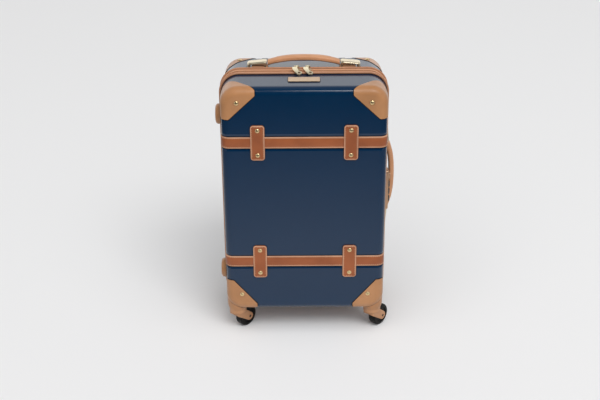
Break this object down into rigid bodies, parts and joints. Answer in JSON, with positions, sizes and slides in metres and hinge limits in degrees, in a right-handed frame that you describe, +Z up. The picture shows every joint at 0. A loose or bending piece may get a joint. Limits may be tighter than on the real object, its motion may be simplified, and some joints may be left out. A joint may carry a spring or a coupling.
{
  "type": "suitcase",
  "caption": "Cabin suitcase in trunk style: glossy hard shells joined by a zip, corner guards, belt straps, carry handles, trolley handle and swivel casters.",
  "frame": {"origin": "on the floor under the middle of the case, on its left-right middle plane", "axes": "+X to the right of the case seen from its front, +Y towards its back, +Z up"},
  "size_m": [0.3759, 0.2268, 0.5917],
  "materials": {
    "navy_shell": "polished moulded shell",
    "tan_moulding": "grained tan moulding",
    "cognac_leather": "stitched belt leather",
    "tan_piping": "corded piping",
    "zip_tape": "woven zip tape",
    "pale_gold": "pale gold plating",
    "wheel_black": "hard black wheel",
    "axle_steel": "plain steel pin",
    "tube_aluminium": "satin anodised tube",
    "black_plastic": "satin black moulding",
    "lining_cloth": "woven polyester lining",
    "elastic": "woven elastic",
    "dial_black": "satin black dial"
  },
  "bodies": {
    "rear_case": {"rear_shell": "navy_shell", "rear_lining": "lining_cloth", "rear_zip_tape": "zip_tape", "rear_piping": "tan_piping", "guard_rear_top_left": "tan_moulding", "guard_rear_top_right": "tan_moulding", "caster_guard_rear_left": "tan_moulding", "caster_guard_rear_right": "tan_moulding", "rear_straps": "cognac_leather", "rear_keepers": "cognac_leather", "rear_rivets": "pale_gold", "top_handle_loops": "pale_gold", "side_handle_loops": "pale_gold", "lock_housing": "pale_gold", "hinge_bead": "tan_piping", "trolley_bezel": "black_plastic", "trolley_outer_tubes": "tube_aluminium", "trolley_foot_brackets": "black_plastic", "packing_strap": "elastic", "packing_clip": "black_plastic"},
    "front_lid": {"front_shell": "navy_shell", "front_lining": "lining_cloth", "front_zip_tape": "zip_tape", "front_piping": "tan_piping", "guard_front_top_left": "tan_moulding", "guard_front_top_right": "tan_moulding", "caster_guard_front_left": "tan_moulding", "caster_guard_front_right": "tan_moulding", "front_straps": "cognac_leather", "front_keepers": "cognac_leather", "front_rivets": "pale_gold", "name_plate": "pale_gold", "side_feet": "tan_moulding"},
    "caster_front_left": {"caster_fork_front_left": "tan_moulding", "caster_axle_front_left": "axle_steel"},
    "wheel_front_left": {"caster_wheel_front_left": "wheel_black"},
    "caster_front_right": {"caster_fork_front_right": "tan_moulding", "caster_axle_front_right": "axle_steel"},
    "wheel_front_right": {"caster_wheel_front_right": "wheel_black"},
    "caster_rear_left": {"caster_fork_rear_left": "tan_moulding", "caster_axle_rear_left": "axle_steel"},
    "wheel_rear_left": {"caster_wheel_rear_left": "wheel_black"},
    "caster_rear_right": {"caster_fork_rear_right": "tan_moulding", "caster_axle_rear_right": "axle_steel"},
    "wheel_rear_right": {"caster_wheel_rear_right": "wheel_black"},
    "trolley_middle": {"trolley_middle_tubes": "tube_aluminium"},
    "trolley_upper": {"trolley_inner_tubes": "tube_aluminium", "trolley_grip": "black_plastic"},
    "trolley_key": {"trolley_button": "black_plastic"},
    "top_handle": {"top_handle": "cognac_leather"},
    "side_handle": {"side_handle": "cognac_leather"},
    "zip_slider_left": {"zip_slider_left": "pale_gold"},
    "zip_pull_left": {"zip_pull_left": "pale_gold"},
    "zip_slider_right": {"zip_slider_right": "pale_gold"},
    "zip_pull_right": {"zip_pull_right": "pale_gold"},
    "lock_dial_1": {"lock_dial_1": "dial_black"},
    "lock_dial_2": {"lock_dial_2": "dial_black"},
    "lock_dial_3": {"lock_dial_3": "dial_black"},
    "lock_key": {"lock_button": "pale_gold"}
  },
  "joints": [
    {"name": "lid_hinge", "type": "hinge", "parent": "rear_case", "child": "front_lid", "pos_m": [-0.1717, -0.008, 0.31275], "axis": [0, 0, -1], "range_deg": [0, 150]},
    {"name": "swivel_front_left", "type": "hinge", "parent": "front_lid", "child": "caster_front_left", "pos_m": [-0.146, -0.077, 0.054], "axis": [0, 0, 1], "continuous": true},
    {"name": "spin_front_left", "type": "hinge", "parent": "caster_front_left", "child": "wheel_front_left", "pos_m": [-0.13058, -0.05926, 0.024], "axis": [-0.7547, 0.6561, 0], "continuous": true},
    {"name": "swivel_front_right", "type": "hinge", "parent": "front_lid", "child": "caster_front_right", "pos_m": [0.146, -0.077, 0.054], "axis": [0, 0, 1], "continuous": true},
    {"name": "spin_front_right", "type": "hinge", "parent": "caster_front_right", "child": "wheel_front_right", "pos_m": [0.16142, -0.05926, 0.024], "axis": [-0.7547, 0.6561, 0], "continuous": true},
    {"name": "swivel_rear_left", "type": "hinge", "parent": "rear_case", "child": "caster_rear_left", "pos_m": [-0.146, 0.077, 0.054], "axis": [0, 0, 1], "continuous": true},
    {"name": "spin_rear_left", "type": "hinge", "parent": "caster_rear_left", "child": "wheel_rear_left", "pos_m": [-0.13058, 0.09474, 0.024], "axis": [-0.7547, 0.6561, 0], "continuous": true},
    {"name": "swivel_rear_right", "type": "hinge", "parent": "rear_case", "child": "caster_rear_right", "pos_m": [0.146, 0.077, 0.054], "axis": [0, 0, 1], "continuous": true},
    {"name": "spin_rear_right", "type": "hinge", "parent": "caster_rear_right", "child": "wheel_rear_right", "pos_m": [0.16142, 0.09474, 0.024], "axis": [-0.7547, 0.6561, 0], "continuous": true},
    {"name": "trolley_middle_slide", "type": "slide", "parent": "rear_case", "child": "trolley_middle", "axis": [0, 0, 1], "range_m": [0, 0.25]},
    {"name": "trolley_upper_slide", "type": "slide", "parent": "trolley_middle", "child": "trolley_upper", "axis": [0, 0, 1], "range_m": [0, 0.25]},
    {"name": "trolley_button_press", "type": "slide", "parent": "trolley_upper", "child": "trolley_key", "axis": [0, 0, -1], "range_m": [0, 0.0025], "stiffness_N_per_m": 600, "springref_m": -0.002},
    {"name": "top_handle_lift", "type": "slide", "parent": "rear_case", "child": "top_handle", "axis": [0, 0.0349, 0.9994], "range_m": [0, 0.0045]},
    {"name": "side_handle_lift", "type": "slide", "parent": "rear_case", "child": "side_handle", "axis": [0.9994, 0.0349, 0], "range_m": [-0.002, 0.0025]},
    {"name": "zip_run_left", "type": "slide", "parent": "front_lid", "child": "zip_slider_left", "axis": [1, 0, 0], "range_m": [-0.105, 0]},
    {"name": "zip_pull_swing_left", "type": "hinge", "parent": "zip_slider_left", "child": "zip_pull_left", "pos_m": [-0.0145, -0.008, 0.5774], "axis": [-1, 0, 0], "range_deg": [0, 110]},
    {"name": "zip_run_right", "type": "slide", "parent": "front_lid", "child": "zip_slider_right", "axis": [1, 0, 0], "range_m": [0, 0.112]},
    {"name": "zip_pull_swing_right", "type": "hinge", "parent": "zip_slider_right", "child": "zip_pull_right", "pos_m": [0.008, -0.008, 0.5774], "axis": [-1, 0, 0], "range_deg": [0, 110]},
    {"name": "dial_turn_1", "type": "hinge", "parent": "rear_case", "child": "lock_dial_1", "pos_m": [0.17954, 0.02388, 0.3005], "axis": [0, 0, 1], "continuous": true},
    {"name": "dial_turn_2", "type": "hinge", "parent": "rear_case", "child": "lock_dial_2", "pos_m": [0.17954, 0.02388, 0.2835], "axis": [0, 0, 1], "continuous": true},
    {"name": "dial_turn_3", "type": "hinge", "parent": "rear_case", "child": "lock_dial_3", "pos_m": [0.17954, 0.02388, 0.2665], "axis": [0, 0, 1], "continuous": true},
    {"name": "lock_button_press", "type": "slide", "parent": "rear_case", "child": "lock_key", "axis": [-0.9994, -0.0349, 0], "range_m": [0, 0.0025], "stiffness_N_per_m": 600, "springref_m": -0.002}
  ]
}
